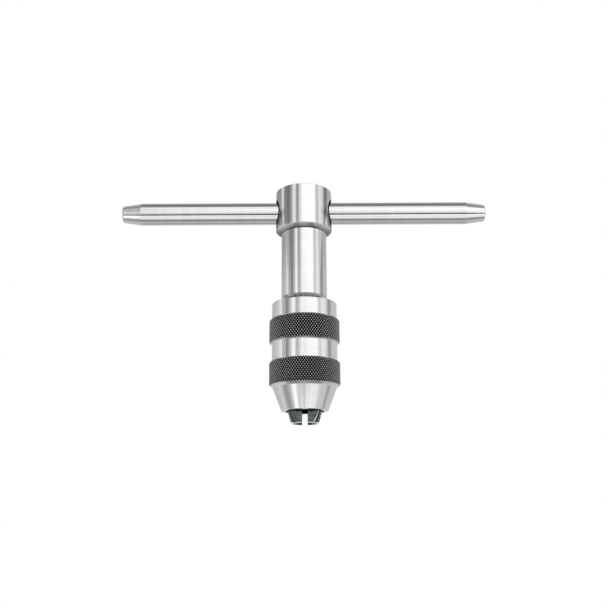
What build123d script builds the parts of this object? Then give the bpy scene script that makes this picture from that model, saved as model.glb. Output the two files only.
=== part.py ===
"""T-handle tap wrench: a turned body with a sliding cross handle and a two-jaw chuck.

The frame has +Z up along the chuck axis, +X along the handle, and its origin
at the centre of the jaw tips. All lengths are in millimetres.
"""

import os
from math import radians, sqrt, tan

from build123d import *

os.makedirs("parts", exist_ok=True)

# Handle
HANDLE_LENGTH = 124.0
HANDLE_RADIUS = 3.74
HANDLE_TIP_RADIUS = 2.85
HANDLE_TAPER_LENGTH = 6.5
HANDLE_TIP_ROUND = 0.45
HANDLE_Z = 71.85

# Head and barrel
HEAD_TOP_Z = 79.15
HEAD_RADIUS = 9.49
HEAD_BEVEL_Z = 65.7
HEAD_END_Z = 64.4
HEAD_TOP_ROUND = 0.2
HEAD_EDGE_ROUND = 0.25
HEAD_RELIEF_WIDTH = 0.3
HEAD_RELIEF_DEPTH = 0.2
HANDLE_HOLE_CLEARANCE = 0.06
HANDLE_HOLE_EDGE = 0.25
BARREL_RADIUS = 7.61
BARREL_END_Z = 40.8
BARREL_END_CHAMFER = 0.7

# Neck and threaded stem
NECK_RADIUS = 6.0
STEM_RADIUS = 7.0
STEM_TOP_Z = 33.45
STEM_END_Z = 8.6
STEM_END_CHAMFER = 0.7
THREAD_CLEARANCE = 0.05

# Jaw slot and the bore of the friction brake
SLOT_CLEARANCE = 0.05
SCREW_BORE_RADIUS = 2.5
SCREW_BORE_TOP_Z = 51.0
PLUNGER_BORE_RADIUS = 2.1

# Sleeve, outside
SLEEVE_TOP_Z = 39.3
SLEEVE_RADIUS = 10.70
SLEEVE_TOP_ROUND = 0.2
BAND_RADIUS = 11.57
BAND_BOTTOMS_Z = (26.5, 12.72)
BAND_TOPS_Z = (33.5, 19.5)
BAND_EDGE_TOP = 0.5
BAND_EDGE_BOTTOM = 0.75
CONE_TOP_Z = 11.35
CONE_TOP_RADIUS = 10.35
NOSE_Z = 3.95
NOSE_RADIUS = 7.52
NOSE_ROUND = 0.35

# Sleeve, inside
MOUTH_RADIUS = 7.85
MOUTH_DEPTH = 0.8
NOSE_HOLE_RADIUS = 6.2
NOSE_LAND = 0.35
CLOSING_ANGLE = 21.5
CAVITY_RADIUS = 9.0
CAVITY_TOP_Z = 22.9

# Stop ring in its groove
RING_WIRE_RADIUS = 0.55
RING_Z = 37.65
RING_NECK_CLEARANCE = 0.1
RING_GROOVE_CLEARANCE = 0.08
RING_SPLIT = 1.6

# Jaws
JAW_GAP = 1.76
JAW_CLOSED_GAP = 0.06
JAW_THICKNESS = 7.3
JAW_TOP_Z = 19.0
JAW_TIP_RADIUS = 4.42
JAW_TAPER = 0.29
JAW_SHOULDER_LOW_Z = 4.4
JAW_SHOULDER_HIGH_Z = 5.1
JAW_OUTER_RADIUS = 7.5
JAW_CONE_CLEARANCE = 0.08
JAW_TIP_EDGE = 0.3
JAW_TOP_EDGE = 0.5
GROOVE_DEPTH = 2.1
GROOVE_LENGTH = 13.0

# Jaw springs
JAW_SPRING_Z = 15.7
JAW_SPRING_Y = 2.35
JAW_SPRING_HOLE_RADIUS = 1.05
JAW_SPRING_HOLE_DEPTH = 3.0
JAW_SPRING_COIL_RADIUS = 0.70
JAW_SPRING_WIRE_RADIUS = 0.18
JAW_SPRING_TURNS = 5
JAW_SPRING_END_PLAY = 0.05
WIRE_FLATS = 8

# Friction brake under the handle
PLUNGER_RADIUS = 2.04
PLUNGER_LENGTH = 4.6
PLUNGER_NOSE_RADIUS = 3.2
PLUNGER_STUB_RADIUS = 1.1
PLUNGER_STUB_LENGTH = 1.6
PLUNGER_GAP = 0.03
BRAKE_SPRING_COIL_RADIUS = 1.58
BRAKE_SPRING_WIRE_RADIUS = 0.35
BRAKE_SPRING_TURNS = 6
SCREW_LENGTH = 5.0
SCREW_CLEARANCE = 0.05
SCREW_SOCKET_ACROSS = 2.5
SCREW_SOCKET_DEPTH = 2.5
SCREW_EDGE = 0.4

# Worked out from the driving dimensions
CLOSING_TRAVEL = (JAW_GAP - JAW_CLOSED_GAP) / 2
SLOT_WIDTH = JAW_THICKNESS + 2 * SLOT_CLEARANCE
SLOT_TOP_Z = JAW_TOP_Z + SLOT_CLEARANCE
HANDLE_HOLE_RADIUS = HANDLE_RADIUS + HANDLE_HOLE_CLEARANCE
THREAD_BORE_RADIUS = STEM_RADIUS + THREAD_CLEARANCE
CLOSING_SLOPE = tan(radians(CLOSING_ANGLE))
REACH = 200.0
RUN_OUT = 1.0
CLOSE = 0.01


def turned(*outline):
    """A solid turned about the chuck axis from (radius, height) corners."""
    return revolve(Plane.XZ * make_face(Polyline(*outline, close=True)), Axis.Z)


def rod(radius, low, high):
    """A round rod on the chuck axis between two heights."""
    return Pos(0, 0, low) * Cylinder(radius, high - low, align=(Align.CENTER, Align.CENTER, Align.MIN))


def rims(solid, radius, height):
    """The circular edges of one radius at one height."""
    found = solid.edges().filter_by(GeomType.CIRCLE)
    return [e for e in found if abs(e.radius - radius) < CLOSE and abs(e.arc_center.Z - height) < CLOSE]


def closing_cone_radius(height):
    """Radius of the sleeve's closing cone, which pushes the jaws together."""
    return NOSE_HOLE_RADIUS + (height - NOSE_Z - NOSE_LAND) * CLOSING_SLOPE


def closing_cone_height(radius):
    """Height at which the sleeve's closing cone reaches a radius."""
    return NOSE_Z + NOSE_LAND + (radius - NOSE_HOLE_RADIUS) / CLOSING_SLOPE


def coil(coil_radius, wire_radius, turns, length):
    """A compression spring along +Z from the origin, its wire drawn with a few flats."""
    rise = length - 2 * wire_radius
    path = Helix(rise / turns, rise, coil_radius, center=(0, 0, wire_radius))
    section = Plane(origin=path @ 0, z_dir=path % 0) * RegularPolygon(wire_radius, WIRE_FLATS)
    return sweep(section, path=path, is_frenet=True)


def wrench_body():
    """Head, barrel, neck and slotted stem, turned from one bar."""
    chamfered_radius = BARREL_RADIUS - BARREL_END_CHAMFER
    relief_radius = BARREL_RADIUS - HEAD_RELIEF_DEPTH
    blank = turned(
        (0, STEM_END_Z),
        (STEM_RADIUS, STEM_END_Z),
        (STEM_RADIUS, STEM_TOP_Z),
        (NECK_RADIUS, STEM_TOP_Z),
        (NECK_RADIUS, BARREL_END_Z),
        (chamfered_radius, BARREL_END_Z),
        (BARREL_RADIUS, BARREL_END_Z + BARREL_END_CHAMFER),
        (BARREL_RADIUS, HEAD_END_Z - HEAD_RELIEF_WIDTH),
        (relief_radius, HEAD_END_Z - HEAD_RELIEF_WIDTH),
        (relief_radius, HEAD_END_Z),
        (BARREL_RADIUS, HEAD_END_Z),
        (HEAD_RADIUS, HEAD_BEVEL_Z),
        (HEAD_RADIUS, HEAD_TOP_Z),
        (0, HEAD_TOP_Z),
    )
    blank = fillet(rims(blank, HEAD_RADIUS, HEAD_TOP_Z), HEAD_TOP_ROUND)
    blank = fillet(rims(blank, HEAD_RADIUS, HEAD_BEVEL_Z), HEAD_EDGE_ROUND)
    blank = chamfer(rims(blank, STEM_RADIUS, STEM_END_Z), STEM_END_CHAMFER)
    slot_height = SLOT_TOP_Z - STEM_END_Z + RUN_OUT
    slot = Pos(0, 0, SLOT_TOP_Z - slot_height / 2) * Box(REACH, SLOT_WIDTH, slot_height)
    hole = Pos(0, 0, HANDLE_Z) * Rot(0, 90, 0) * Cylinder(HANDLE_HOLE_RADIUS, REACH)
    blank -= slot
    blank -= rod(SCREW_BORE_RADIUS, SLOT_TOP_Z - RUN_OUT, SCREW_BORE_TOP_Z)
    blank -= rod(PLUNGER_BORE_RADIUS, SCREW_BORE_TOP_Z - RUN_OUT, HANDLE_Z)
    blank -= hole
    return ease_handle_hole(blank)


def ease_handle_hole(body):
    """Breaks the two edges where the handle's hole leaves the head."""
    outline = [e for e in body.edges() if is_handle_hole_edge(e)]
    return chamfer(outline, HANDLE_HOLE_EDGE)


def is_handle_hole_edge(edge):
    """True for an edge that lies on the head's outside around the handle's hole."""
    points = [edge @ (step / 8) for step in range(9)]
    on_hole = all(abs(sqrt(p.Y**2 + (p.Z - HANDLE_Z) ** 2) - HANDLE_HOLE_RADIUS) < CLOSE for p in points)
    on_head = all(abs(sqrt(p.X**2 + p.Y**2) - HEAD_RADIUS) < CLOSE for p in points)
    return on_hole and on_head


def handle_bar():
    """Cross handle: a plain round bar with both ends tapered."""
    half = HANDLE_LENGTH / 2
    straight = half - HANDLE_TAPER_LENGTH
    bar = turned(
        (0, -half),
        (HANDLE_TIP_RADIUS, -half),
        (HANDLE_RADIUS, -straight),
        (HANDLE_RADIUS, straight),
        (HANDLE_TIP_RADIUS, half),
        (0, half),
    )
    tips = rims(bar, HANDLE_TIP_RADIUS, half) + rims(bar, HANDLE_TIP_RADIUS, -half)
    bar = fillet(tips, HANDLE_TIP_ROUND)
    return Pos(0, 0, HANDLE_Z) * Rot(0, 90, 0) * bar


def clamping_sleeve():
    """Clamping sleeve: two grip bands outside, thread and closing cone inside."""
    upper_bottom, lower_bottom = BAND_BOTTOMS_Z
    upper_top, lower_top = BAND_TOPS_Z
    groove_radius = ring_centre_radius() + RING_WIRE_RADIUS + RING_GROOVE_CLEARANCE
    groove_half = RING_WIRE_RADIUS + RING_GROOVE_CLEARANCE
    sleeve = turned(
        (NOSE_HOLE_RADIUS, NOSE_Z),
        (NOSE_RADIUS, NOSE_Z),
        (CONE_TOP_RADIUS, CONE_TOP_Z),
        (BAND_RADIUS, lower_bottom),
        (BAND_RADIUS, lower_top),
        (BAND_RADIUS - BAND_EDGE_TOP, lower_top + BAND_EDGE_TOP),
        (SLEEVE_RADIUS, lower_top + BAND_EDGE_TOP),
        (SLEEVE_RADIUS, upper_bottom - BAND_EDGE_BOTTOM),
        (BAND_RADIUS - BAND_EDGE_BOTTOM, upper_bottom - BAND_EDGE_BOTTOM),
        (BAND_RADIUS, upper_bottom),
        (BAND_RADIUS, upper_top),
        (BAND_RADIUS - BAND_EDGE_TOP, upper_top + BAND_EDGE_TOP),
        (SLEEVE_RADIUS, upper_top + BAND_EDGE_TOP),
        (SLEEVE_RADIUS, SLEEVE_TOP_Z),
        (MOUTH_RADIUS, SLEEVE_TOP_Z),
        (MOUTH_RADIUS, SLEEVE_TOP_Z - MOUTH_DEPTH),
        (THREAD_BORE_RADIUS, SLEEVE_TOP_Z - MOUTH_DEPTH),
        (THREAD_BORE_RADIUS, RING_Z + groove_half),
        (groove_radius, RING_Z + groove_half),
        (groove_radius, RING_Z - groove_half),
        (THREAD_BORE_RADIUS, RING_Z - groove_half),
        (THREAD_BORE_RADIUS, CAVITY_TOP_Z),
        (CAVITY_RADIUS, CAVITY_TOP_Z),
        (CAVITY_RADIUS, closing_cone_height(CAVITY_RADIUS)),
        (NOSE_HOLE_RADIUS, NOSE_Z + NOSE_LAND),
    )
    sleeve = fillet(rims(sleeve, SLEEVE_RADIUS, SLEEVE_TOP_Z), SLEEVE_TOP_ROUND)
    return fillet(rims(sleeve, NOSE_RADIUS, NOSE_Z), NOSE_ROUND)


def ring_centre_radius():
    """Radius of the stop ring's wire centre."""
    return NECK_RADIUS + RING_NECK_CLEARANCE + RING_WIRE_RADIUS


def stop_ring():
    """Split wire ring that rides in the sleeve's groove and runs along the neck."""
    ring = Pos(0, 0, RING_Z) * Torus(ring_centre_radius(), RING_WIRE_RADIUS)
    split = Pos(0, ring_centre_radius(), RING_Z) * Box(RING_SPLIT, 4 * RING_WIRE_RADIUS, 4 * RING_WIRE_RADIUS)
    return ring - split


def jaw_blank():
    """The turned blank of both jaws, drawn as they stand when closed."""
    def closed(radius):
        return radius - CLOSING_TRAVEL

    shoulder_end = closing_cone_height(JAW_OUTER_RADIUS + JAW_CONE_CLEARANCE)
    blank = turned(
        (0, 0),
        (closed(JAW_TIP_RADIUS), 0),
        (closed(JAW_TIP_RADIUS + JAW_TAPER * JAW_SHOULDER_LOW_Z), JAW_SHOULDER_LOW_Z),
        (closed(closing_cone_radius(JAW_SHOULDER_HIGH_Z) - JAW_CONE_CLEARANCE), JAW_SHOULDER_HIGH_Z),
        (closed(JAW_OUTER_RADIUS), shoulder_end),
        (closed(JAW_OUTER_RADIUS), JAW_TOP_Z),
        (0, JAW_TOP_Z),
    )
    blank = chamfer(rims(blank, closed(JAW_OUTER_RADIUS), JAW_TOP_Z), JAW_TOP_EDGE)
    blank = chamfer(rims(blank, closed(JAW_TIP_RADIUS), 0), JAW_TIP_EDGE)
    return blank & Pos(0, 0, JAW_TOP_Z / 2) * Box(REACH, JAW_THICKNESS, REACH)


def right_jaw():
    """One jaw on the +X side: half the blank, with its V-groove and spring holes."""
    half_gap = JAW_CLOSED_GAP / 2
    half_side = Pos(REACH / 2 + half_gap, 0, 0) * Box(REACH, REACH, REACH)
    socket_side = sqrt(2) * (GROOVE_DEPTH + half_gap)
    socket = Pos(0, 0, GROOVE_LENGTH / 2) * Rot(0, 0, 45) * Box(socket_side, socket_side, GROOVE_LENGTH)
    jaw = (jaw_blank() & half_side) - socket
    for side in (-1, 1):
        hole = Cylinder(JAW_SPRING_HOLE_RADIUS, 2 * (JAW_SPRING_HOLE_DEPTH + half_gap))
        jaw -= Pos(0, side * JAW_SPRING_Y, JAW_SPRING_Z) * Rot(0, 90, 0) * hole
    return Pos(CLOSING_TRAVEL, 0, 0) * jaw


def jaw_spring(side):
    """Small coil spring across the jaws, which opens them."""
    length = JAW_GAP + 2 * (JAW_SPRING_HOLE_DEPTH - JAW_SPRING_END_PLAY)
    spring = coil(JAW_SPRING_COIL_RADIUS, JAW_SPRING_WIRE_RADIUS, JAW_SPRING_TURNS, length)
    return Pos(-length / 2, side * JAW_SPRING_Y, JAW_SPRING_Z) * Rot(0, 90, 0) * spring


def plunger_top_z():
    """Height of the plunger's nose, just under the handle."""
    return HANDLE_Z - HANDLE_RADIUS - PLUNGER_GAP


def friction_plunger():
    """Round-nosed plunger that presses on the underside of the handle."""
    top = plunger_top_z()
    shoulder = top - PLUNGER_LENGTH
    body = rod(PLUNGER_RADIUS, shoulder, top)
    nose = Pos(0, 0, top - PLUNGER_NOSE_RADIUS) * Sphere(PLUNGER_NOSE_RADIUS)
    below = rod(PLUNGER_RADIUS, shoulder, top - PLUNGER_NOSE_RADIUS)
    return (body & nose) + below + rod(PLUNGER_STUB_RADIUS, shoulder - PLUNGER_STUB_LENGTH, shoulder)


def friction_spring():
    """Coil spring between the set screw and the plunger."""
    length = plunger_top_z() - PLUNGER_LENGTH - SCREW_BORE_TOP_Z
    spring = coil(BRAKE_SPRING_COIL_RADIUS, BRAKE_SPRING_WIRE_RADIUS, BRAKE_SPRING_TURNS, length)
    return Pos(0, 0, SCREW_BORE_TOP_Z) * spring


def friction_screw():
    """Set screw with a hexagon socket that loads the friction spring."""
    radius = SCREW_BORE_RADIUS - SCREW_CLEARANCE
    low = SCREW_BORE_TOP_Z - SCREW_LENGTH
    screw = rod(radius, low, SCREW_BORE_TOP_Z)
    screw = chamfer(rims(screw, radius, low) + rims(screw, radius, SCREW_BORE_TOP_Z), SCREW_EDGE)
    hexagon = RegularPolygon(SCREW_SOCKET_ACROSS / 2, 6, major_radius=False)
    return screw - Pos(0, 0, low) * extrude(hexagon, SCREW_SOCKET_DEPTH)


jaw = right_jaw()
nodes = {
    "wrench_body": wrench_body(),
    "handle_bar": handle_bar(),
    "clamping_sleeve": clamping_sleeve(),
    "stop_ring": stop_ring(),
    "jaw_right": jaw,
    "jaw_left": Rot(0, 0, 180) * jaw,
    "jaw_spring_front": jaw_spring(-1),
    "jaw_spring_back": jaw_spring(1),
    "friction_plunger": friction_plunger(),
    "friction_spring": friction_spring(),
    "friction_screw": friction_screw(),
}
for name, solid in nodes.items():
    solid.label = name
    export_step(solid, f"parts/{name}.step")
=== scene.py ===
"""Looks of a t-handle tap wrench: turned steel, a knurled clamping sleeve and oxide jaws.

Everything is in metres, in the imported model's frame: +Z up the chuck's axis, +X along
the handle, origin at the centre of the jaw tips, and the photograph's side towards -Y.
Shapes are worked out in millimetres and scaled where their mesh is made.
"""

from math import cos, pi, radians, sin, tan

import bpy
import numpy as np
from mathutils import Matrix, Vector


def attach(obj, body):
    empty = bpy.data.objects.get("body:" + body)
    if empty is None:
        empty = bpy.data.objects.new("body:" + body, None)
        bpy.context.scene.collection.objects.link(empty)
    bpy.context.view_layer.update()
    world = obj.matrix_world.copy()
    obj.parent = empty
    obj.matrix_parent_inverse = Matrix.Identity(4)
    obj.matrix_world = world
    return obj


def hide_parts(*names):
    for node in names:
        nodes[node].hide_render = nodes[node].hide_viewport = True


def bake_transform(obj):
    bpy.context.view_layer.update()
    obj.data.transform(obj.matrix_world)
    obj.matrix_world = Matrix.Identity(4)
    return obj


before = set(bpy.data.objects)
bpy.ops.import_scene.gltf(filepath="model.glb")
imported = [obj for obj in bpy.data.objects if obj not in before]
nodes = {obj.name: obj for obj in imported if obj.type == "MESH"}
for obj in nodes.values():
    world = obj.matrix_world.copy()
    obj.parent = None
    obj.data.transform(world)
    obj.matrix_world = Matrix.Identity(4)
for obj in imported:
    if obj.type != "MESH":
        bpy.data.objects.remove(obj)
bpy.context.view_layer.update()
MM = 0.001

# The photograph's camera, in millimetres and degrees
CAMERA_PLACE = (-0.55, -237.63, -26.36)
CAMERA_PITCH = 15.53
CAMERA_YAW = 0.11
CAMERA_ROLL = -0.315
CAMERA_FOCAL_PIXELS = 740.66
PHOTO_PIXELS = 608
SENSOR_MM = 36.0

# Handle
HANDLE_LENGTH = 124.0
HANDLE_RADIUS = 3.74
HANDLE_TIP_RADIUS = 2.85
HANDLE_TAPER_LENGTH = 6.5
HANDLE_TIP_ROUND = 0.45
HANDLE_Z = 71.85

# Head, barrel, neck and stem
HEAD_TOP_Z = 79.15
HEAD_RADIUS = 9.49
HEAD_TOP_ROUND = 0.2
HEAD_EDGE_ROUND = 0.25
HEAD_BEVEL_Z = 65.25
HEAD_END_Z = 64.3
HEAD_RELIEF_WIDTH = 0.3
HEAD_RELIEF_DEPTH = 0.2
HANDLE_HOLE_RADIUS = 3.80
HANDLE_HOLE_ROUND = 0.15
BARREL_RADIUS = 7.61
BARREL_END_Z = 40.8
BARREL_END_CHAMFER = 0.7
BARREL_EDGE_ROUND = 0.12
NECK_RADIUS = 6.0
STEM_RADIUS = 7.0
STEM_TOP_Z = 33.45
STEM_END_Z = 8.6
STEM_END_CHAMFER = 0.7
SLOT_WIDTH = 7.4
SLOT_TOP_Z = 19.05
RUN_OUT = 1.0
SCREW_BORE_RADIUS = 2.5
SCREW_BORE_TOP_Z = 51.0
PLUNGER_BORE_RADIUS = 2.1

# Painted shade on the body, darker where shade falls round the handle's hole, in the groove and corners, on
# the bevel, neck and stem, set to the photograph. Each tone is the share of the light that is left.
ON_WALL_FADE = (BARREL_RADIUS - 0.5, BARREL_RADIUS)
HOLE_EDGE_TONE = 0.10
HOLE_EDGE_FADE = (5.0, 4.6)
UNDER_HOLE_TONE = 0.25
UNDER_HOLE_FADE = (8.4, 5.2)
UNDER_HOLE_HEIGHTS = (HANDLE_Z + 0.6, HANDLE_Z - 2.6)
GROOVE_TONE = 0.06
GROOVE_FADE = (BARREL_RADIUS + 0.05, BARREL_RADIUS - 0.02)
GROOVE_HEIGHTS = (HEAD_END_Z - HEAD_RELIEF_WIDTH, HEAD_END_Z + 0.05)
BEVEL_TONE = 0.50
BEVEL_TOP_HEIGHTS = (HEAD_BEVEL_Z, HEAD_END_Z + 0.2)
BEVEL_END_HEIGHTS = (HEAD_END_Z, HEAD_END_Z + 0.08)
BARREL_LINE_TONE = 0.80
BARREL_LINE_HEIGHTS = (BARREL_END_Z + 0.6, BARREL_END_Z + 0.85)
NECK_TONE = 0.60
NECK_HEIGHTS = (STEM_END_Z - 1.0, BARREL_END_Z + 0.02)
STEM_TONE = 0.30
STEM_HEIGHTS = (STEM_END_Z - 1.0, STEM_TOP_Z)

# Sleeve, outside
SLEEVE_TOP_Z = 39.3
SLEEVE_RADIUS = 10.70
SLEEVE_TOP_ROUND = 0.2
BAND_RADIUS = 11.57
UPPER_BAND_LOW_Z = 26.5
UPPER_BAND_HIGH_Z = 33.35
LOWER_BAND_HIGH_Z = 19.35
BAND_EDGE_TOP = 0.65
BAND_EDGE_BOTTOM = 0.75
CONE_TOP_Z = 11.35
CONE_TOP_RADIUS = 10.35
NOSE_Z = 3.95
NOSE_RADIUS = 7.52
NOSE_ROUND = 0.35

# Sleeve, inside
NOSE_HOLE_RADIUS = 6.2
NOSE_LAND = 0.35
CLOSING_SLOPE = tan(radians(21.5))
CAVITY_RADIUS = 9.0
CAVITY_TOP_Z = 22.9
THREAD_BORE_RADIUS = 7.05
MOUTH_RADIUS = 7.85
MOUTH_DEPTH = 0.8
RING_Z = 37.65
RING_GROOVE_RADIUS = 7.28
RING_GROOVE_HALF = 0.63

# Diamond knurl
KNURL_TEETH = 82
KNURL_DEPTH = 0.42
KNURL_TURNS_PER_MM = 0.81
KNURL_STEPS = 4
KNURL_CREST = 0.19
KNURL_END_STEP = 0.2
KNURL_WEAR = 0.10

# Fineness of the meshes
BODY_SEGMENTS = 288
BAR_SEGMENTS = 192
ROUND_STEPS = 6
WALL_ROWS = 20
WINDOW_COLUMNS = 24
WINDOW_RINGS = 6
CUTTER_SEGMENTS = 96

# Cutting, and finding points and their normals again after it
LARGE = 40.0
TINY = 1e-6
KEYS_PER_MM = 1e4
SHARP_ANGLE = 30
SAME_NORMAL = 0.9

# Jaws: a painted highlight along a line, pale ground tips, and painted shade and painted light by place, set
# to the photograph. Each tone multiplies the colour, so above 1 it is brighter.
SOCKET_REACH = 3.05
# A painted highlight along a line on each jaw, brighter on the right jaw than on the left.
GLINT_LINE_Y = 3.05
GLINT_LINE_WIDTH = 0.3
GLINT_LEFT = 0.15
GLINT_RIGHT = 0.90
# Painted shade beside the line, and painted light on the flats.
BESIDE_LINE_WIDTH = 0.5
BESIDE_LINE_TONE = 0.35
FLAT_FADE = 1.3
FLAT_TONE = 1.7
# Bare ground steel round the tips, made pale and partly diffuse, so it is partly a painted highlight.
TIP_RIM_HEIGHTS = (0.03, 0.28)
TIP_RIM_METALLIC = 0.4
# Painted shade above the tips, in the socket, under the nose and on the tip faces near the gap.
ABOVE_RIM_HEIGHTS = (0.30, 0.52)
ABOVE_RIM_TONE = 0.6
UNDER_NOSE_HEIGHTS = (NOSE_Z - 0.45, NOSE_Z + 0.15)
SHADED_TONE = 0.1
TIP_FACE_HEIGHTS = (0.03, 0.01)
TIP_FACE_FADE = (4.0, 1.3)
TIP_FACE_TONE = 0.03

# Colours of the oxide, by height above the bottom of the knurl's grooves and by the jaws' mottle
KNURL_COLOURS = (
    (0.0, (0.018, 0.019, 0.018)),
    (0.45, (0.066, 0.069, 0.065)),
    (0.82, (0.210, 0.216, 0.206)),
    (0.95, (0.640, 0.646, 0.634)),
)
JAW_COLOURS = ((0.35, (0.080, 0.096, 0.098)), (0.65, (0.165, 0.190, 0.190)))
# Colours of the painted highlight along the jaws' line and of the pale ground tips.
GLINT_COLOUR = (0.95, 0.96, 0.96)
TIP_RIM_COLOUR = (0.90, 0.91, 0.90)

# Order of the sleeve's materials. A piece of one material has the first.
STEEL, OXIDE, BORE = range(3)

# Jaw springs
JAW_SPRING_Z = 15.7
JAW_SPRING_Y = 2.35
JAW_SPRING_LENGTH = 7.66
JAW_SPRING_COIL_RADIUS = 0.70
JAW_SPRING_WIRE_RADIUS = 0.18
JAW_SPRING_TURNS = 5
JAW_SPRING_STEPS = 60
WIRE_SEGMENTS = 10

# Floor
FLOOR_Z = -72.0
FLOOR_SIZE = 6000.0
FLOOR_GREY = 0.95
FLOOR_LIFT = 0.06

# Steel: colour, and the scale of its marks and tint in cycles per metre
BRIGHT_STEEL = (0.870, 0.880, 0.862)
MARKS_SCALE = {"X": (3200, 60, 60), "Z": (60, 60, 3200)}
TINT_SCALE = {"X": (500, 90, 90), "Z": (90, 90, 500)}
TINT_DARK = 0.94


# Shader nodes
def math_node(tree, operation, *values):
    """A Math node's output, where each value is a number or another node's output."""
    made = tree.nodes.new("ShaderNodeMath")
    made.operation = operation
    for socket, value in zip(made.inputs, values):
        if isinstance(value, (int, float)):
            socket.default_value = value
        else:
            tree.links.new(value, socket)
    return made.outputs[0]


def product(tree, first, *others):
    """The product of several values."""
    for other in others:
        first = math_node(tree, "MULTIPLY", first, other)
    return first


def ramp(tree, factor, stops):
    """A colour ramp's output, from (position, grey level or colour) stops."""
    made = tree.nodes.new("ShaderNodeValToRGB")
    elements = made.color_ramp.elements
    while len(elements) > 1:
        elements.remove(elements[-1])
    for index, (position, level) in enumerate(stops):
        stop = elements[0] if index == 0 else elements.new(position)
        stop.position = position
        colour = (level, level, level) if isinstance(level, (int, float)) else level
        stop.color = (*colour, 1.0)
    tree.links.new(factor, made.inputs["Fac"])
    return made.outputs["Color"]


def smooth_step(tree, value, low, high):
    """Rises smoothly from 0 at low to 1 at high."""
    made = tree.nodes.new("ShaderNodeMapRange")
    made.interpolation_type = "SMOOTHSTEP"
    made.inputs["From Min"].default_value = low
    made.inputs["From Max"].default_value = high
    tree.links.new(value, made.inputs["Value"])
    return made.outputs["Result"]


def mix_colour(tree, factor, first, second):
    """Blends two colours by a factor."""
    made = tree.nodes.new("ShaderNodeMix")
    made.data_type = "RGBA"
    sockets = (made.inputs[0], made.inputs[6], made.inputs[7])
    for socket, value in zip(sockets, (factor, first, second)):
        if isinstance(value, bpy.types.NodeSocket):
            tree.links.new(value, socket)
        elif isinstance(value, (int, float)):
            socket.default_value = value
        else:
            socket.default_value = (*value, 1.0)
    return made.outputs[2]


# Camera
def add_camera():
    """The photograph's camera, a little below the tool and looking up at it."""
    pitch, yaw, roll = (radians(a) for a in (CAMERA_PITCH, CAMERA_YAW, CAMERA_ROLL))
    forward = Vector((sin(yaw) * cos(pitch), cos(yaw) * cos(pitch), sin(pitch)))
    right = Vector((cos(yaw), -sin(yaw), 0))
    up = right.cross(forward)
    rolled_right = cos(roll) * right + sin(roll) * up
    rolled_up = cos(roll) * up - sin(roll) * right
    data = bpy.data.cameras.new("camera")
    data.sensor_width = SENSOR_MM
    data.lens = CAMERA_FOCAL_PIXELS / PHOTO_PIXELS * SENSOR_MM
    data.clip_start = 0.01
    data.clip_end = 20.0
    camera = bpy.data.objects.new("camera", data)
    turn = Matrix((rolled_right, rolled_up, -forward)).transposed().to_4x4()
    camera.matrix_world = Matrix.Translation(Vector(CAMERA_PLACE) * MM) @ turn
    bpy.context.scene.collection.objects.link(camera)
    bpy.context.scene.camera = camera


# Studio light: grey levels of the soft panels all round, by compass direction in degrees from the front.
# They were worked out from the photograph's own grey levels along the head, sleeve, cone and handle, by
# the direction that the steel reflects there, and then adjusted in renders.
PANELS_HIGH = (
    (-180, 0.46), (-130, 0.28), (-110, 0.32), (-105, 0.48), (-101, 0.90), (-96, 0.82), (-90, 0.34),
    (-82, 0.19), (-64, 0.17), (-54, 0.30), (-44, 0.78), (-39, 1.02), (-35, 0.74), (-30, 0.28),
    (-26, 0.26), (-20, 0.58), (-13, 0.88), (-7, 1.15), (0, 1.25), (42, 1.25), (48, 1.02),
    (54, 0.55), (60, 0.55), (65, 0.88), (78, 0.84), (87, 0.60), (94, 0.30), (99, 0.16), (106, 0.16),
    (113, 0.38), (125, 0.46), (180, 0.46),
)
PANELS_LEVEL = (
    (-180, 0.62), (-140, 0.55), (-111, 0.68), (-98, 0.78), (-92, 1.00), (-87, 0.95), (-80, 0.42),
    (-75, 0.66), (-71, 0.52), (-65, 0.26), (-61, 0.28), (-57, 0.50), (-50, 0.62), (-44, 1.05),
    (-36, 1.15), (-31, 0.84), (-28, 0.48), (-24, 0.48), (-19, 0.74), (-7, 1.10), (1, 0.92),
    (10, 1.08), (43, 1.14), (50, 0.90), (55, 0.62), (60, 0.88), (69, 1.00), (84, 0.76), (92, 0.36),
    (99, 0.34), (112, 0.62), (180, 0.62),
)
PANELS_LOW = (
    (-180, 0.60), (-130, 0.64), (-112, 0.72), (-104, 0.66), (-96, 0.46), (-84, 0.34), (-78, 0.32),
    (-66, 0.46), (-57, 0.64), (-49, 1.04), (-44, 1.34), (-37, 1.38), (-32, 0.96), (-27, 0.68),
    (-18, 1.24), (-9, 1.30), (-2, 0.90), (4, 1.35), (9, 1.60), (16, 1.50), (24, 1.16), (46, 1.06),
    (56, 0.78), (72, 0.60), (84, 0.68), (92, 0.55), (100, 0.40), (108, 0.40), (120, 0.52),
    (133, 0.60), (180, 0.60),
)
# The same down the middle, by direction over the top, from the front at 0 to straight up at 90
PANELS_OVER = (
    (-180, 0.75), (-150, 0.50), (-136, 0.32), (-122, 0.50), (-108, 0.54), (-98, 0.40), (-91, 0.24),
    (-82, 0.24), (-77, 0.42), (-70, 0.84), (-62, 1.00), (-50, 0.92), (-40, 0.72), (-36, 0.50),
    (-33, 0.04), (-23, 0.04), (-19, 0.46), (-12, 0.68), (-3, 0.80), (3, 0.95), (8, 1.25),
    (24, 1.25), (29, 0.86), (36, 0.84), (42, 1.05), (56, 1.05), (61, 0.66), (66, 0.26), (84, 0.20),
    (96, 0.20), (112, 0.36), (180, 0.60),
)
CEILING_FRONT = (0.32, 0.32, 0.32)
CEILING_BACK = (1.0, 1.0, 1.0)
GROUND = (0.7, 0.7, 0.7)
# Where the ceiling's front gives way to its back, as parts of a unit direction to the front
CEILING_TURN = (-0.1, -0.4)

# Where one row of panels gives way to the next, by height in degrees above the horizon
TO_GROUND = (-46, -56)
TO_LEVEL = (-20, -14)
TO_HIGH = (15.5, 21)
TO_CEILING = (40, 48)

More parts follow.
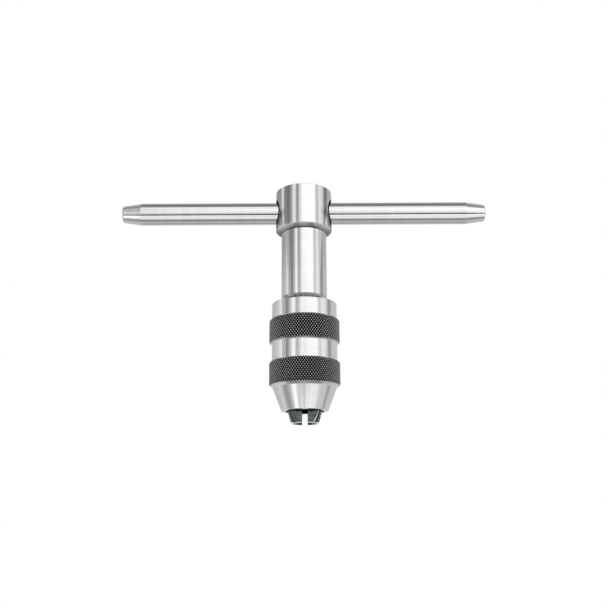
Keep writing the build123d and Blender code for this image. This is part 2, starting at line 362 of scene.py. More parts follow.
# Where the middle's panels show. Heights are in degrees, sides and fronts are parts of a unit direction.
MIDDLE_SIDE = (0.38, 0.24)
FACING_FRONT = (-0.1, 0.1)
UPPER_WINDOW = ((-9, -1), (40, 32))
LOWER_WINDOW = ((-42, -38), (-30.5, -33))
WINGS_SIDE = (0.66, 0.58)
WINGS_FRONT = ((-28.5, -25), (-8, -12))
WINGS_BELOW = (-48, -54)


def degrees_ramp(tree, angle, stops):
    """A grey ramp over a full turn, from stops in degrees."""
    turn = math_node(tree, "MULTIPLY_ADD", angle, 1 / (2 * pi), 0.5)
    return ramp(tree, turn, [((degree + 180) / 360, level) for degree, level in stops])


def light_studio():
    """White for what the camera sees, and the studio's panels for what the steel reflects."""
    scene = bpy.context.scene
    scene.world = bpy.data.worlds.new("studio")
    scene.world.use_nodes = True
    tree = scene.world.node_tree
    tree.nodes.clear()
    direction = tree.nodes.new("ShaderNodeTexCoord").outputs["Generated"]
    parts = tree.nodes.new("ShaderNodeSeparateXYZ")
    tree.links.new(direction, parts.inputs[0])
    side, back, height = parts.outputs
    front = math_node(tree, "MULTIPLY", back, -1.0)
    azimuth = math_node(tree, "ARCTAN2", side, front)
    over = math_node(tree, "ARCTAN2", height, front)

    def past(band):
        return smooth_step(tree, height, *(sin(radians(degree)) for degree in band))

    panels = mix_colour(
        tree, past(TO_LEVEL), degrees_ramp(tree, azimuth, PANELS_LOW),
        degrees_ramp(tree, azimuth, PANELS_LEVEL))
    panels = mix_colour(tree, past(TO_HIGH), panels, degrees_ramp(tree, azimuth, PANELS_HIGH))
    ceiling = mix_colour(tree, smooth_step(tree, front, *CEILING_TURN), CEILING_FRONT, CEILING_BACK)
    panels = mix_colour(tree, past(TO_GROUND), panels, GROUND)
    panels = mix_colour(tree, past(TO_CEILING), panels, ceiling)
    aside = math_node(tree, "ABSOLUTE", side)
    facing = smooth_step(tree, front, *FACING_FRONT)
    windows = [product(tree, past(start), past(stop)) for start, stop in (UPPER_WINDOW, LOWER_WINDOW)]
    window = product(tree, math_node(tree, "ADD", *windows), facing)
    middle = product(
        tree, smooth_step(tree, aside, *MIDDLE_SIDE), math_node(tree, "SUBTRACT", 1.0, window))
    wings_start, wings_stop = WINGS_FRONT
    low_front = product(tree, past(wings_start), past(wings_stop), facing)
    wings = product(
        tree, smooth_step(tree, aside, *WINGS_SIDE), math_node(tree, "ADD", low_front, past(WINGS_BELOW)))
    middle = math_node(tree, "MAXIMUM", middle, wings)
    studio = mix_colour(tree, middle, panels, degrees_ramp(tree, over, PANELS_OVER))
    rays = tree.nodes.new("ShaderNodeLightPath")
    colour = mix_colour(tree, rays.outputs["Is Glossy Ray"], (1.0, 1.0, 1.0), studio)
    background = tree.nodes.new("ShaderNodeBackground")
    tree.links.new(colour, background.inputs["Color"])
    output = tree.nodes.new("ShaderNodeOutputWorld")
    tree.links.new(background.outputs[0], output.inputs["Surface"])


def add_floor():
    """A plain white floor below the camera. The steel reflects the studio's panels in its place."""
    data = bpy.data.meshes.new("floor")
    half = FLOOR_SIZE / 2 * MM
    z = FLOOR_Z * MM
    corners = [(-half, -half, z), (half, -half, z), (half, half, z), (-half, half, z)]
    data.from_pydata(corners, [], [(0, 1, 2, 3)])
    floor = bpy.data.objects.new("floor", data)
    bpy.context.scene.collection.objects.link(floor)
    made = bpy.data.materials.new("white_floor")
    made.use_nodes = True
    tree = made.node_tree
    shader = tree.nodes["Principled BSDF"]
    shader.inputs["Base Color"].default_value = (FLOOR_GREY, FLOOR_GREY, FLOOR_GREY, 1)
    shader.inputs["Roughness"].default_value = 0.9
    shader.inputs["Specular IOR Level"].default_value = 0.0
    shader.inputs["Emission Color"].default_value = (1, 1, 1, 1)
    rays = tree.nodes.new("ShaderNodeLightPath")
    lift = math_node(tree, "MULTIPLY", rays.outputs["Is Camera Ray"], FLOOR_LIFT)
    tree.links.new(lift, shader.inputs["Emission Strength"])
    data.materials.append(made)
    floor.visible_glossy = False


# Materials
def metal(name, roughness, anisotropy=0.0):
    """A bare metal surface with its node tree, its shader and the place on the object."""
    made = bpy.data.materials.new(name)
    made.use_nodes = True
    tree = made.node_tree
    shader = tree.nodes["Principled BSDF"]
    shader.inputs["Metallic"].default_value = 1.0
    shader.inputs["Roughness"].default_value = roughness
    shader.inputs["Anisotropic"].default_value = anisotropy
    place = tree.nodes.new("ShaderNodeTexCoord").outputs["Object"]
    return made, tree, shader, place


def stretched_noise(tree, place, scale, detail=2.0):
    """Noise with its own scale along each axis, in cycles per metre."""
    mapping = tree.nodes.new("ShaderNodeMapping")
    mapping.inputs["Scale"].default_value = scale
    tree.links.new(place, mapping.inputs["Vector"])
    noise = tree.nodes.new("ShaderNodeTexNoise")
    noise.inputs["Scale"].default_value = 1.0
    noise.inputs["Detail"].default_value = detail
    tree.links.new(mapping.outputs[0], noise.inputs["Vector"])
    return noise.outputs["Fac"]


def scaled(tree, colour, tone):
    """A colour made darker or lighter by a tone."""
    made = tree.nodes.new("ShaderNodeVectorMath")
    made.operation = "SCALE"
    tree.links.new(colour, made.inputs[0])
    tree.links.new(tone, made.inputs["Scale"])
    return made.outputs[0]


def between(tree, value, low, high, blur):
    """1 between two places and 0 outside them, with soft ends. All are in millimetres."""
    after = smooth_step(tree, value, (low - blur) * MM, (low + blur) * MM)
    before = smooth_step(tree, value, (high + blur) * MM, (high - blur) * MM)
    return math_node(tree, "MULTIPLY", after, before)


def distance(tree, first, second):
    """The length of a flat step, from its two parts."""
    squares = [math_node(tree, "MULTIPLY", part, part) for part in (first, second)]
    return math_node(tree, "SQRT", math_node(tree, "ADD", *squares))


def fade(tree, value, ends):
    """0 at the first end and 1 at the second, smoothly between. Both ends are in millimetres."""
    return smooth_step(tree, value, ends[0] * MM, ends[1] * MM)


def toned(tree, marks):
    """The product of several tones, each given with its mask, where a mask of 0 leaves 1."""
    return product(tree, *[math_node(tree, "MULTIPLY_ADD", mask, tone - 1.0, 1.0) for mask, tone in marks])


def body_painted_shade(tree, place):
    """Painted shade on the hole edges, corners and underside faces, as the photograph shows them."""
    parts = tree.nodes.new("ShaderNodeSeparateXYZ")
    tree.links.new(place, parts.inputs[0])
    x, y, z = parts.outputs
    from_axis = distance(tree, x, y)
    from_handle = distance(tree, y, math_node(tree, "SUBTRACT", z, HANDLE_Z * MM))
    on_wall = fade(tree, from_axis, ON_WALL_FADE)
    hole_edge = product(tree, on_wall, fade(tree, from_handle, HOLE_EDGE_FADE))
    under_hole = product(
        tree, on_wall, fade(tree, from_handle, UNDER_HOLE_FADE), fade(tree, z, UNDER_HOLE_HEIGHTS))
    groove = product(
        tree, fade(tree, from_axis, GROOVE_FADE), between(tree, z, *GROOVE_HEIGHTS, blur=0.04))
    bevel = product(tree, fade(tree, z, BEVEL_TOP_HEIGHTS), fade(tree, z, BEVEL_END_HEIGHTS))
    return toned(tree, (
        (hole_edge, HOLE_EDGE_TONE),
        (under_hole, UNDER_HOLE_TONE),
        (groove, GROOVE_TONE),
        (bevel, BEVEL_TONE),
        (between(tree, z, *BARREL_LINE_HEIGHTS, blur=0.05), BARREL_LINE_TONE),
        (between(tree, z, *NECK_HEIGHTS, blur=0.02), NECK_TONE),
        (between(tree, z, *STEM_HEIGHTS, blur=0.02), STEM_TONE),
    ))


def turned_steel(name, axis, roughness, anisotropy, mark_depth, tone=None):
    """Bright steel with fine turning marks round an axis, toned by a function of the place."""
    made, tree, shader, place = metal(name, roughness, anisotropy)
    shader.inputs["Anisotropic Rotation"].default_value = 0.25
    tangent = tree.nodes.new("ShaderNodeTangent")
    tangent.direction_type = "RADIAL"
    tangent.axis = axis
    tree.links.new(tangent.outputs[0], shader.inputs["Tangent"])
    marks = stretched_noise(tree, place, MARKS_SCALE[axis], detail=3.0)
    bump = tree.nodes.new("ShaderNodeBump")
    bump.inputs["Strength"].default_value = 1.0
    bump.inputs["Distance"].default_value = mark_depth * MM
    tree.links.new(marks, bump.inputs["Height"])
    tree.links.new(bump.outputs[0], shader.inputs["Normal"])
    tint = stretched_noise(tree, place, TINT_SCALE[axis])
    darker = tuple(c * TINT_DARK for c in BRIGHT_STEEL)
    steel = ramp(tree, tint, [(0.3, darker), (0.7, BRIGHT_STEEL)])
    # Painted shade: the body's tone darkens the steel's colour and its reflection's tint.
    if tone:
        level = tone(tree, place)
        steel = scaled(tree, steel, level)
        tree.links.new(level, shader.inputs["Specular Tint"])
    tree.links.new(steel, shader.inputs["Base Color"])
    return made


def knurl_oxide():
    """Black oxide, darkest at the bottom of the knurl's grooves and worn to steel on its crests."""
    made, tree, shader, place = metal("knurl_oxide", roughness=0.36)
    parts = tree.nodes.new("ShaderNodeSeparateXYZ")
    tree.links.new(place, parts.inputs[0])
    x, y, _ = parts.outputs
    bottom = (BAND_RADIUS - KNURL_DEPTH) * MM
    height = math_node(
        tree, "MULTIPLY_ADD", distance(tree, x, y), 1 / (KNURL_DEPTH * MM), -bottom / (KNURL_DEPTH * MM))
    wear = stretched_noise(tree, place, (900, 900, 900), detail=3.0)
    worn = math_node(tree, "MULTIPLY_ADD", wear, KNURL_WEAR, -KNURL_WEAR / 2)
    colour = ramp(tree, math_node(tree, "ADD", height, worn), KNURL_COLOURS)
    tree.links.new(colour, shader.inputs["Base Color"])
    return made


def jaw_oxide():
    """Blue-black oxide on the jaws, with a painted highlight along a line, pale ground tips, and painted
    shade and light by place.

    The painted highlight is brighter on the right than on the left, as in the photograph.
    """
    made, tree, shader, place = metal("jaw_oxide", roughness=0.30)
    parts = tree.nodes.new("ShaderNodeSeparateXYZ")
    tree.links.new(place, parts.inputs[0])
    x, y, z = parts.outputs
    across, deep = (math_node(tree, "ABSOLUTE", part) for part in (x, y))
    mottle = stretched_noise(tree, place, (1300, 1300, 1300), detail=4.0)
    colour = ramp(tree, mottle, JAW_COLOURS)
    # A painted highlight along each jaw's shoulder, brighter on the right jaw.
    line_low = GLINT_LINE_Y - GLINT_LINE_WIDTH / 2
    flat_high = line_low - BESIDE_LINE_WIDTH
    line = between(tree, deep, line_low, GLINT_LINE_Y + GLINT_LINE_WIDTH / 2, blur=0.03)
    on_right = fade(tree, x, (-1.0, 1.0))
    glint_strength = math_node(tree, "MULTIPLY_ADD", on_right, GLINT_RIGHT - GLINT_LEFT, GLINT_LEFT)
    colour = mix_colour(tree, product(tree, line, glint_strength), colour, GLINT_COLOUR)
    # Ground steel round the tips, pale and partly diffuse: partly a painted highlight.
    rim = between(tree, z, *TIP_RIM_HEIGHTS, blur=0.02)
    colour = mix_colour(tree, rim, colour, TIP_RIM_COLOUR)
    from_middle = math_node(tree, "ADD", across, deep)
    in_socket = fade(tree, from_middle, (SOCKET_REACH + 0.1, SOCKET_REACH))
    shaded = math_node(tree, "MAXIMUM", in_socket, fade(tree, z, UNDER_NOSE_HEIGHTS))
    tip_face = product(tree, fade(tree, z, TIP_FACE_HEIGHTS), fade(tree, across, TIP_FACE_FADE))
    # Painted shade and painted light on the oxide, in its colour and its reflection's tint.
    light = toned(tree, (
        (shaded, SHADED_TONE),
        (between(tree, z, *ABOVE_RIM_HEIGHTS, blur=0.05), ABOVE_RIM_TONE),
        (between(tree, deep, flat_high, line_low - 0.03, blur=0.03), BESIDE_LINE_TONE),
        (fade(tree, deep, (flat_high, flat_high - FLAT_FADE)), FLAT_TONE),
        (tip_face, TIP_FACE_TONE),
    ))
    tree.links.new(scaled(tree, colour, light), shader.inputs["Base Color"])
    tree.links.new(light, shader.inputs["Specular Tint"])
    metallic = math_node(tree, "MULTIPLY_ADD", rim, TIP_RIM_METALLIC - 1.0, 1.0)
    tree.links.new(metallic, shader.inputs["Metallic"])
    return made


def dark_bore():
    """Bored steel inside the sleeve, painted near black as shade where no light falls."""
    made, tree, shader, place = metal("dark_bore", roughness=0.45)
    bore_mottle = stretched_noise(tree, place, (200, 200, 900))
    tree.links.new(ramp(tree, bore_mottle, [(0.3, 0.015), (0.7, 0.035)]), shader.inputs["Base Color"])
    return made


def spring_steel():
    """Plain drawn wire."""
    made, tree, shader, place = metal("spring_steel", roughness=0.3)
    tint = stretched_noise(tree, place, (700, 700, 700))
    tree.links.new(ramp(tree, tint, [(0.3, 0.34), (0.7, 0.46)]), shader.inputs["Base Color"])
    return made


# Mesh making
class Surface:
    """Points, faces, corner normals and finishes of one piece, in millimetres."""

    def __init__(self):
        self.points = []
        self.faces = []
        self.normals = []
        self.finishes = []
        self.smooth = []

    def add(self, points):
        """Adds points and gives their numbers."""
        first = len(self.points)
        self.points += np.asarray(points, float).tolist()
        return np.arange(first, len(self.points))

    def ring(self, radius, height, directions):
        """A ring of points round the Z axis, or one point at its centre."""
        if radius < TINY:
            return np.full(len(directions), self.add([(0, 0, height)])[0])
        return self.add(np.column_stack([radius * directions, np.full(len(directions), height)]))

    def add_faces(self, corners, normals, finish, smooth):
        """Adds faces of one size, with a normal at each corner."""
        self.faces += corners.tolist()
        self.normals.append(normals.reshape(-1, 3))
        self.finishes += [finish] * len(corners)
        self.smooth += [smooth] * len(corners)

    def strip(self, low, high, low_normals, high_normals, only=None, finish=STEEL):
        """Faces from one ring of points to the next. Seen from outside, the low ring runs anticlockwise."""
        rows = slice(None) if only is None else only
        corners = np.stack([low, np.roll(low, -1), np.roll(high, -1), high], 1)[rows]
        after_low, after_high = np.roll(low_normals, -1, 0), np.roll(high_normals, -1, 0)
        normals = np.stack([low_normals, after_low, after_high, high_normals], 1)[rows]
        kept = [0, 1, 2, 3]
        if corners[0, 0] == corners[0, 1]:
            kept = [0, 2, 3]
        elif corners[0, 2] == corners[0, 3]:
            kept = [0, 1, 2]
        self.add_faces(corners[:, kept], normals[:, kept], finish, True)

    def lay_along_x(self, height):
        """Turns what was made about Z to lie along X, at a height."""
        points = np.array(self.points)
        self.points = np.column_stack([points[:, 2], points[:, 1], height - points[:, 0]]).tolist()
        self.normals = [np.column_stack([n[:, 2], n[:, 1], -n[:, 0]]) for n in self.normals]

    def make(self, name, *materials):
        """The piece's object, with its corner normals and materials."""
        data = bpy.data.meshes.new(name)
        data.from_pydata((np.array(self.points) * MM).tolist(), [], self.faces)
        for material in materials:
            data.materials.append(material)
        data.polygons.foreach_set("material_index", self.finishes)
        data.polygons.foreach_set("use_smooth", self.smooth)
        data.normals_split_custom_set(np.concatenate(self.normals).tolist())
        made = bpy.data.objects.new(name, data)
        bpy.context.scene.collection.objects.link(made)
        return made


def compass(segments):
    """Unit directions round the Z axis."""
    angles = np.arange(segments) * 2 * pi / segments
    return np.column_stack([np.cos(angles), np.sin(angles)])


def spread(slope, directions):
    """Normals all round for an outline's normal (outward, upward)."""
    return np.column_stack([slope[0] * directions, np.full(len(directions), slope[1])])


def outline(corners):
    """Rows (radius, height) of a turned outline, and the normals at both ends of each run between rows.

    A corner is (radius, height) or (radius, height, round). The outside lies to the right of its way.
    """
    points = [Vector(corner[:2]) for corner in corners]
    rows = []
    runs = []
    for index, corner in enumerate(points):
        ahead = (points[(index + 1) % len(points)] - corner).normalized()
        across = Vector((ahead.y, -ahead.x))
        if len(corners[index]) == 3:
            size = corners[index][2]
            behind = (points[index - 1] - corner).normalized()
            half = behind.angle(ahead) / 2
            centre = corner + (behind + ahead).normalized() * size / sin(half)
            first = corner + behind * size / tan(half) - centre
            last = corner + ahead * size / tan(half) - centre
            spokes = [first.slerp(last, step / ROUND_STEPS).normalized() for step in range(ROUND_STEPS + 1)]
            outward = 1 if spokes[-1].dot(across) > 0 else -1
            rows += [centre + spoke * size for spoke in spokes]
            runs += [(outward * a, outward * b) for a, b in zip(spokes, spokes[1:])]
        else:
            rows.append(corner)
        runs.append((across, across))
    return rows, runs[:-1]


def turn(surface, corners, directions, rings=(), finish=STEEL):
    """Turns an outline about Z and gives its rings. Rings given in stand for the first rows."""
    rows, runs = outline(corners)
    rings = list(rings)
    rings += [surface.ring(*row, directions) for row in rows[len(rings):]]
    for low, high, (first, last) in zip(rings, rings[1:], runs):
        surface.strip(low, high, spread(first, directions), spread(last, directions), finish=finish)
    return rings


def place_key(point):
    """A point's place as whole numbers, to find it again after cutting."""
    return tuple(round(c / MM * KEYS_PER_MM) for c in point)


def carve(piece, surface, *cuts):
    """Cuts a piece with closed solids, each given with its operation, and restores its corner normals."""
    for operation, cutter in cuts:
        step = piece.modifiers.new("cut", "BOOLEAN")
        step.operation = operation
        step.object = cutter
        step.solver = "EXACT"
    graph = bpy.context.evaluated_depsgraph_get()
    data = bpy.data.meshes.new_from_object(piece.evaluated_get(graph))
    piece.modifiers.clear()
    piece.data = data
    for _, cutter in cuts:
        bpy.data.objects.remove(cutter)
    known = {}
    corner_normals = iter(np.concatenate(surface.normals))
    for face in surface.faces:
        for point in face:
            key = place_key(Vector(surface.points[point]) * MM)
            known.setdefault(key, []).append(Vector(next(corner_normals)))
    data.polygons.foreach_set("use_smooth", [True] * len(data.polygons))
    data.set_sharp_from_angle(angle=radians(SHARP_ANGLE))
    restored = []
    for face in data.polygons:
        for vertex in face.vertices:
            near = known.get(place_key(data.vertices[vertex].co), ())
            best = max(near, key=face.normal.dot, default=Vector())
            restored.append(best if best.dot(face.normal) > SAME_NORMAL else (0, 0, 0))
    data.normals_split_custom_set(restored)


def solid(corners):
    """A turned solid about Z, to cut with."""
    surface = Surface()
    turn(surface, corners, compass(CUTTER_SEGMENTS))
    return surface.make("cutter")


def block(low, high):
    """A box between two corners, to cut with."""
    data = bpy.data.meshes.new("block")
    xs, ys, zs = zip(low, high)
    points = [(x * MM, y * MM, z * MM) for z in zs for y in ys for x in xs]
    faces = [(0, 2, 3, 1), (4, 5, 7, 6), (0, 1, 5, 4), (2, 6, 7, 3), (0, 4, 6, 2), (1, 3, 7, 5)]
    data.from_pydata(points, [], faces)
    made = bpy.data.objects.new("block", data)
    bpy.context.scene.collection.objects.link(made)
    return made


def stand_for(piece, node, body):
    """Puts a piece in a CAD node's place, on its body."""
    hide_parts(node)
    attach(piece, body)


# Body
def window_edge(grid, column):
    """The points round one window in the head's wall, with their columns from its middle and their rows."""
    across = np.arange(-WINDOW_COLUMNS, WINDOW_COLUMNS + 1)
    up = np.arange(1, WALL_ROWS)
    columns = np.concatenate([
        across, np.full(len(up), WINDOW_COLUMNS), across[::-1], np.full(len(up), -WINDOW_COLUMNS)])
    rows = np.concatenate([
        np.zeros(len(across), int), up, np.full(len(across), WALL_ROWS), up[::-1]])
    return grid[rows, (columns + column) % grid.shape[1]], columns, rows


def pierced_side(surface, edge, turns, heights, side):
    """The wall round one end of the handle's hole and its rounded edge. Gives the hole's ring."""
    inner = HEAD_RADIUS - HANDLE_HOLE_ROUND
    reach = HANDLE_HOLE_RADIUS + HANDLE_HOLE_ROUND
    around = np.arctan2(heights - HANDLE_Z, turns * HEAD_RADIUS)
    hole_turns = np.arcsin(reach * np.cos(around) / inner)
    hole_heights = HANDLE_Z + reach * np.sin(around)

    def wall_normals(angles):
        return np.column_stack([side * np.cos(angles), side * np.sin(angles), np.zeros(len(angles))])

    ring, normals = edge, wall_normals(turns)
    for step in np.arange(1, WINDOW_RINGS + 1) / WINDOW_RINGS:
        angles = turns + (hole_turns - turns) * step
        next_normals = wall_normals(angles)
        points = HEAD_RADIUS * next_normals
        points[:, 2] = heights + (hole_heights - heights) * step
        next_ring = surface.add(points)
        surface.strip(ring, next_ring, normals, next_normals)
        ring, normals = next_ring, next_normals
    centres = inner * wall_normals(hole_turns)
    centres[:, 2] = hole_heights
    inward = np.column_stack([np.zeros(len(around)), -side * np.cos(around), -np.sin(around)])
    start = wall_normals(hole_turns)
    bend = np.arccos(np.sum(start * inward, 1))[:, None]
    for step in np.arange(1, ROUND_STEPS + 1) / ROUND_STEPS:
        next_normals = (np.sin((1 - step) * bend) * start + np.sin(step * bend) * inward) / np.sin(bend)
        next_ring = surface.add(centres + HANDLE_HOLE_ROUND * next_normals)
        surface.strip(ring, next_ring, normals, next_normals)
        ring, normals = next_ring, next_normals
    return ring, normals


def pierced_wall(surface, low_ring, high_ring, low_z, high_z, directions):
    """The head's wall, with the handle's hole through it."""
    count = len(directions)
    from_middle = np.abs((np.arange(count) + count // 4) % (count // 2) - count // 4)
    outside = from_middle >= WINDOW_COLUMNS
    levels = np.linspace(low_z, high_z, WALL_ROWS + 1)
    grid = np.full((WALL_ROWS + 1, count), -1)
    grid[0] = low_ring
    grid[-1] = high_ring
    for row in range(1, WALL_ROWS):
        grid[row, outside] = surface.ring(HEAD_RADIUS, levels[row], directions[outside])
    normals = spread((1, 0), directions)
    for row in range(WALL_ROWS):
        surface.strip(grid[row], grid[row + 1], normals, normals, outside & np.roll(outside, -1))
    right, columns, rows = window_edge(grid, 0)
    left, _, _ = window_edge(grid, count // 2)
    turns = columns * 2 * pi / count
    right_ring, right_normals = pierced_side(surface, right, turns, levels[rows], 1)
    left_ring, left_normals = pierced_side(surface, left, turns, levels[rows], -1)
    mirrored = (2 * WINDOW_COLUMNS - np.arange(len(right_ring))) % len(right_ring)
    surface.strip(right_ring, left_ring[mirrored], right_normals, left_normals[mirrored])


def build_body(steel):
    """Head, barrel, neck and slotted stem, turned from one bar."""
    surface = Surface()
    directions = compass(BODY_SEGMENTS)
    relief_radius = BARREL_RADIUS - HEAD_RELIEF_DEPTH
    rows, runs = outline([
        (0, STEM_END_Z),
        (STEM_RADIUS - STEM_END_CHAMFER, STEM_END_Z),
        (STEM_RADIUS, STEM_END_Z + STEM_END_CHAMFER),
        (STEM_RADIUS, STEM_TOP_Z),
        (NECK_RADIUS, STEM_TOP_Z),
        (NECK_RADIUS, BARREL_END_Z),
        (BARREL_RADIUS - BARREL_END_CHAMFER, BARREL_END_Z),
        (BARREL_RADIUS, BARREL_END_Z + BARREL_END_CHAMFER, BARREL_EDGE_ROUND),
        (BARREL_RADIUS, HEAD_END_Z - HEAD_RELIEF_WIDTH),
        (relief_radius, HEAD_END_Z - HEAD_RELIEF_WIDTH),
        (relief_radius, HEAD_END_Z),
        (BARREL_RADIUS, HEAD_END_Z),
        (HEAD_RADIUS, HEAD_BEVEL_Z, HEAD_EDGE_ROUND),
        (HEAD_RADIUS, HEAD_TOP_Z, HEAD_TOP_ROUND),
        (0, HEAD_TOP_Z),
    ])
    rings = [surface.ring(*row, directions) for row in rows]
    for low, high, low_row, high_row, (first, last) in zip(rings, rings[1:], rows, rows[1:], runs):
        if low_row.y < HANDLE_Z < high_row.y:
            pierced_wall(surface, low, high, low_row.y, high_row.y, directions)
        else:
            surface.strip(low, high, spread(first, directions), spread(last, directions))
    body = surface.make("body", steel)
    slot = block((-LARGE, -SLOT_WIDTH / 2, 0), (LARGE, SLOT_WIDTH / 2, SLOT_TOP_Z))
    bore = solid([
        (0, SLOT_TOP_Z - RUN_OUT),
        (SCREW_BORE_RADIUS, SLOT_TOP_Z - RUN_OUT),
        (SCREW_BORE_RADIUS, SCREW_BORE_TOP_Z),
        (PLUNGER_BORE_RADIUS, SCREW_BORE_TOP_Z),
        (PLUNGER_BORE_RADIUS, HANDLE_Z),
        (0, HANDLE_Z),
    ])
    carve(body, surface, ("DIFFERENCE", slot), ("DIFFERENCE", bore))
    stand_for(body, "wrench_body", "wrench_body")


def build_handle(steel):
    """The cross handle, a plain round bar with both ends tapered."""
    half = HANDLE_LENGTH / 2
    straight = half - HANDLE_TAPER_LENGTH
    surface = Surface()
    turn(surface, [
        (0, -half),
        (HANDLE_TIP_RADIUS, -half, HANDLE_TIP_ROUND),
        (HANDLE_RADIUS, -straight),
        (HANDLE_RADIUS, straight),
        (HANDLE_TIP_RADIUS, half, HANDLE_TIP_ROUND),
        (0, half),
    ], compass(BAR_SEGMENTS))
    surface.lay_along_x(HANDLE_Z)
    stand_for(surface.make("cross_handle", steel), "handle_bar", "handle")


# Sleeve
def knurl_cut(turns):
    """How deep one set of grooves cuts, from 0 on a flat crest to 1 at a groove's bottom."""
    from_crest = np.abs(turns - np.floor(turns) - 0.5)
    return np.clip((from_crest - KNURL_CREST) / (0.5 - KNURL_CREST), 0, 1)


def knurl_band(surface, low_ring, low, high, around, directions):
    """A knurled band with chamfered edges, from a ring already made. Gives its top ring.

    low and high are the (radius, height) where its chamfers start and end.
    """
    step = 1 / (2 * KNURL_STEPS * KNURL_TURNS_PER_MM)
    first = np.ceil(low[1] / step + KNURL_END_STEP) * step
    heights = [low[1], *np.arange(first, high[1] - KNURL_END_STEP * step, step), high[1]]
    ring, ring_on_edge = low_ring, np.full(len(around), True)
    middle = around + 0.5 / (2 * KNURL_STEPS)
    for lower, z in zip(heights, heights[1:]):
        rise = z * KNURL_TURNS_PER_MM
        cut = np.maximum(knurl_cut(around + rise), knurl_cut(around - rise))
        lower_edge = low[0] + z - low[1]
        upper_edge = high[0] + high[1] - z
        edge = min(lower_edge, upper_edge)
        radii = np.minimum(BAND_RADIUS - KNURL_DEPTH * cut, edge)
        on_edge = radii > edge - TINY
        points = np.column_stack([radii[:, None] * directions, np.full(len(radii), z)])
        next_ring = surface.add(points)
        half_rise = (lower + z) / 2 * KNURL_TURNS_PER_MM
        rising = knurl_cut(middle + half_rise) > knurl_cut(middle - half_rise)
        slope = Vector((1, -1 if lower_edge < upper_edge else 1)).normalized()
        edge_normals = spread(slope, directions)
        after = np.roll(np.arange(len(around)), -1)
        a, b, c, d = ring, ring[after], next_ring[after], next_ring
        edges = {0: ring_on_edge, 1: ring_on_edge[after], 2: on_edge[after], 3: on_edge}
        shading = (edge_normals, edge_normals[after], edge_normals[after], edge_normals)
        halves = (((0, 1, 3), rising), ((1, 2, 3), rising), ((0, 1, 2), ~rising), ((0, 2, 3), ~rising))
        for picks, chosen in halves:
            faces = np.stack([(a, b, c, d)[p] for p in picks], 1)
            normals = np.stack([shading[p] for p in picks], 1)
            bright = edges[picks[0]] & edges[picks[1]] & edges[picks[2]]
            surface.add_faces(faces[chosen & bright], normals[chosen & bright], STEEL, True)
            surface.add_faces(faces[chosen & ~bright], 0 * normals[chosen & ~bright], OXIDE, False)
        ring, ring_on_edge = next_ring, on_edge
    return ring


def build_sleeve(steel, oxide, bore):
    """The clamping sleeve in one closed mesh, with its knurl cut into the grip bands."""
    segments = KNURL_TEETH * 2 * KNURL_STEPS
    directions = compass(segments)
    around = np.arange(segments) / (2 * KNURL_STEPS)
    upper_low = UPPER_BAND_LOW_Z - BAND_EDGE_BOTTOM
    upper_high = UPPER_BAND_HIGH_Z + BAND_EDGE_TOP
    lower_high = LOWER_BAND_HIGH_Z + BAND_EDGE_TOP
    mouth_floor = SLEEVE_TOP_Z - MOUTH_DEPTH
    cavity_low = NOSE_Z + NOSE_LAND + (CAVITY_RADIUS - NOSE_HOLE_RADIUS) / CLOSING_SLOPE
    top_edge = BAND_RADIUS - BAND_EDGE_TOP
    bottom_edge = BAND_RADIUS - BAND_EDGE_BOTTOM
    surface = Surface()
    nose = turn(surface, [
        (NOSE_HOLE_RADIUS, NOSE_Z),
        (NOSE_RADIUS, NOSE_Z, NOSE_ROUND),
        (CONE_TOP_RADIUS, CONE_TOP_Z),
    ], directions)
    top = knurl_band(
        surface, nose[-1], (CONE_TOP_RADIUS, CONE_TOP_Z), (top_edge, lower_high), around, directions)
    waist = turn(surface, [
        (top_edge, lower_high),
        (SLEEVE_RADIUS, lower_high),
        (SLEEVE_RADIUS, upper_low),
        (bottom_edge, upper_low),
    ], directions, [top])
    top = knurl_band(
        surface, waist[-1], (bottom_edge, upper_low), (top_edge, upper_high), around, directions)
    mouth = turn(surface, [
        (top_edge, upper_high),
        (SLEEVE_RADIUS, upper_high),
        (SLEEVE_RADIUS, SLEEVE_TOP_Z, SLEEVE_TOP_ROUND),
        (MOUTH_RADIUS, SLEEVE_TOP_Z),
        (MOUTH_RADIUS, mouth_floor),
        (THREAD_BORE_RADIUS, mouth_floor),
    ], directions, [top])
    inside = turn(surface, [
        (THREAD_BORE_RADIUS, mouth_floor),
        (THREAD_BORE_RADIUS, RING_Z + RING_GROOVE_HALF),
        (RING_GROOVE_RADIUS, RING_Z + RING_GROOVE_HALF),
        (RING_GROOVE_RADIUS, RING_Z - RING_GROOVE_HALF),
        (THREAD_BORE_RADIUS, RING_Z - RING_GROOVE_HALF),
        (THREAD_BORE_RADIUS, CAVITY_TOP_Z),
        (CAVITY_RADIUS, CAVITY_TOP_Z),
        (CAVITY_RADIUS, cavity_low),
        (NOSE_HOLE_RADIUS, NOSE_Z + NOSE_LAND),
    ], directions, [mouth[-1]], BORE)
    land = spread((-1, 0), directions)
    surface.strip(inside[-1], nose[0], land, land, finish=BORE)
    stand_for(surface.make("sleeve", steel, oxide, bore), "clamping_sleeve", "sleeve")


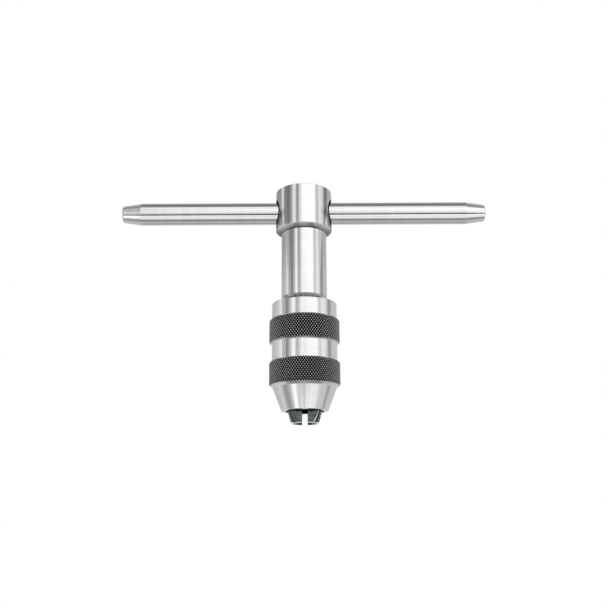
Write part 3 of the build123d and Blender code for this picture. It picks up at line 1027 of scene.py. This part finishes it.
# Jaw springs
def build_half_spring(place, side, jaw, way, wire):
    """Half of a jaw spring, from its middle to its jaw.

    side is -1 for the spring at the front and 1 for the one behind. way is 1 for the jaw on the right.
    """
    surface = Surface()
    reach = JAW_SPRING_LENGTH / 2 - JAW_SPRING_WIRE_RADIUS
    turning = pi * JAW_SPRING_TURNS / reach
    rise = turning * JAW_SPRING_COIL_RADIUS
    section = compass(WIRE_SEGMENTS)
    rings = []
    for x in sorted(way * reach * np.linspace(0, 1, JAW_SPRING_STEPS + 1)):
        angle = turning * (x + reach)
        outward = np.array([0, sin(angle), -cos(angle)])
        along = np.array([1, rise * cos(angle), rise * sin(angle)]) / np.hypot(1, rise)
        centre = np.array([x, side * JAW_SPRING_Y, JAW_SPRING_Z]) + JAW_SPRING_COIL_RADIUS * outward
        spokes = section[:, :1] * outward + section[:, 1:] * np.cross(along, outward)
        rings.append((surface.add(centre + JAW_SPRING_WIRE_RADIUS * spokes), spokes, centre, along))
    for (low, low_spokes, *_), (high, high_spokes, *_) in zip(rings, rings[1:]):
        surface.strip(low, high, low_spokes, high_spokes)
    for (ring, _, centre, along), outside in ((rings[0], -1), (rings[-1], 1)):
        middle = np.full(len(ring), surface.add([centre])[0])
        normals = np.tile(outside * along, (len(ring), 1))
        low, high = (middle, ring) if outside < 0 else (ring, middle)
        surface.strip(low, high, normals, normals)
    made = surface.make(f"spring_{place}_{jaw}", wire)
    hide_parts(f"jaw_spring_{place}")
    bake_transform(made)


# Pieces that keep their CAD shape
def give(node, made):
    """Gives a CAD node its material."""
    data = nodes[node].data
    data.materials.clear()
    data.materials.append(made)


# Making it
bpy.context.scene.view_settings.view_transform = "Standard"
add_camera()
light_studio()
add_floor()

polished = {"roughness": 0.15, "anisotropy": 0.85, "mark_depth": 0.0010}
body_steel = turned_steel("body_steel", "Z", **polished, tone=body_painted_shade)
bar_steel = turned_steel("bar_steel", "X", **polished)
satin_steel = turned_steel("satin_steel", "Z", roughness=0.17, anisotropy=0.62, mark_depth=0.0016)
wire = spring_steel()
oxide = jaw_oxide()
for jaw in ("jaw_left", "jaw_right"):
    give(jaw, oxide)
for part in ("stop_ring", "friction_plunger", "friction_spring"):
    give(part, wire)
for place, side in (("front", -1), ("back", 1)):
    for jaw, way in (("jaw_left", -1), ("jaw_right", 1)):
        build_half_spring(place, side, jaw, way, wire)
give("friction_screw", oxide)
build_body(body_steel)
build_handle(bar_steel)
build_sleeve(satin_steel, knurl_oxide(), dark_bore())
